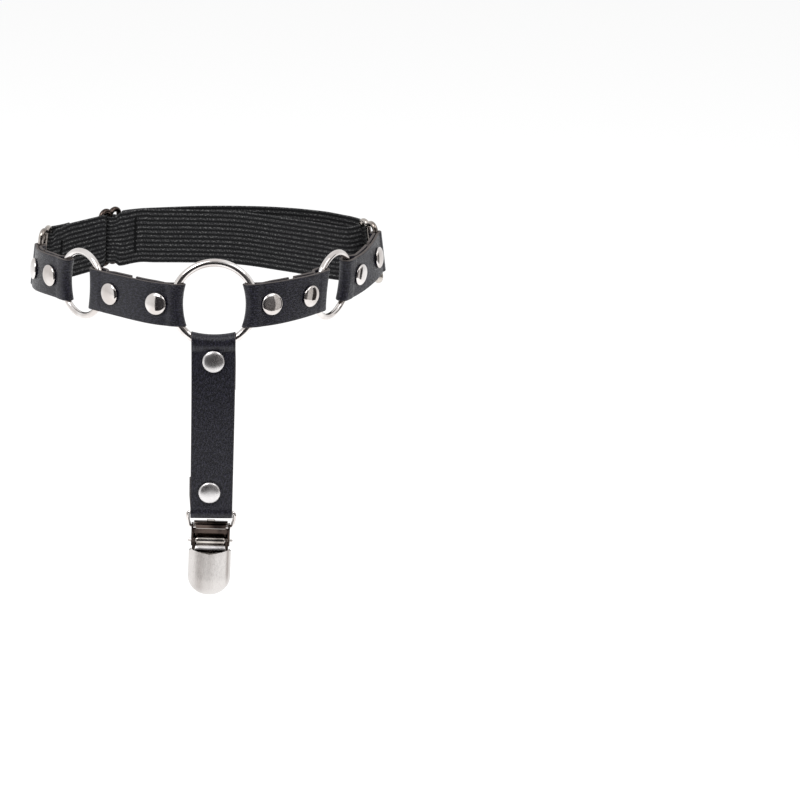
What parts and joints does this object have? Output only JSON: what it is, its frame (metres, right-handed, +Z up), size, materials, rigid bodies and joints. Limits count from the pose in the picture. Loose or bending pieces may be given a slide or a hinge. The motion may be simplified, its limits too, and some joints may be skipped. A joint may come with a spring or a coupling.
{
  "type": "sock garter",
  "caption": "Garter in black riveted leather straps joined by nickel rings, closed behind by adjustable elastic, with a sock clip hanging from a leather strap.",
  "frame": {"origin": "centre of the leg opening at the height of the middle of the band", "axes": "+Z up the leg, -Y out of the front, through the centre ring, +X across to the right as seen from the front"},
  "size_m": [0.1695, 0.1372, 0.1593],
  "materials": {
    "left_front_strap": "satin black with fine grain",
    "right_front_strap": "satin black with fine grain",
    "left_back_strap": "satin black with fine grain",
    "right_back_strap": "satin black with fine grain",
    "drop_strap": "satin black with fine grain",
    "elastic_band": "matt black ribbed elastic",
    "left_front_rivet_a": "polished nickel",
    "left_front_rivet_b": "polished nickel",
    "right_front_rivet_a": "polished nickel",
    "right_front_rivet_b": "polished nickel",
    "left_back_rivet_a": "polished nickel",
    "left_back_rivet_b": "polished nickel",
    "right_back_rivet_a": "polished nickel",
    "right_back_rivet_b": "polished nickel",
    "drop_rivet_upper": "polished nickel",
    "drop_rivet_lower": "polished nickel",
    "centre_ring": "polished nickel",
    "left_side_ring": "polished nickel",
    "right_side_ring": "polished nickel",
    "left_slide": "polished nickel",
    "right_slide": "polished nickel",
    "adjuster": "polished nickel",
    "clip_loop": "polished nickel",
    "clip_frame": "polished dark nickel",
    "clip_pin": "polished nickel",
    "clip_barrel": "polished nickel",
    "clip_jaw": "satin nickel"
  },
  "bodies": {
    "band": {"left_front_strap": "left_front_strap", "right_front_strap": "right_front_strap", "left_back_strap": "left_back_strap", "right_back_strap": "right_back_strap", "drop_strap": "drop_strap", "elastic_band": "elastic_band", "left_front_rivet_a": "left_front_rivet_a", "left_front_rivet_b": "left_front_rivet_b", "right_front_rivet_a": "right_front_rivet_a", "right_front_rivet_b": "right_front_rivet_b", "left_back_rivet_a": "left_back_rivet_a", "left_back_rivet_b": "left_back_rivet_b", "right_back_rivet_a": "right_back_rivet_a", "right_back_rivet_b": "right_back_rivet_b", "drop_rivet_upper": "drop_rivet_upper", "drop_rivet_lower": "drop_rivet_lower", "centre_ring": "centre_ring", "left_side_ring": "left_side_ring", "right_side_ring": "right_side_ring", "left_slide": "left_slide", "right_slide": "right_slide", "adjuster": "adjuster"},
    "loop": {"clip_loop": "clip_loop"},
    "clip": {"clip_frame": "clip_frame", "clip_pin": "clip_pin", "clip_barrel": "clip_barrel"},
    "jaw": {"clip_jaw": "clip_jaw"}
  },
  "joints": [
    {"name": "loop_swing", "type": "hinge", "parent": "band", "child": "loop", "pos_m": [-0.00138, -0.064, -0.0983], "axis": [-0.9995, 0, 0.0332], "range_deg": [-60, 60]},
    {"name": "clip_swing", "type": "hinge", "parent": "loop", "child": "clip", "pos_m": [-0.00161, -0.064, -0.1053], "axis": [-0.9995, 0, 0.0332], "range_deg": [-75, 75]},
    {"name": "jaw_open", "type": "hinge", "parent": "clip", "child": "jaw", "pos_m": [-0.00183, -0.0643, -0.11189], "axis": [-0.9995, 0, 0.0332], "range_deg": [0, 50]}
  ]
}
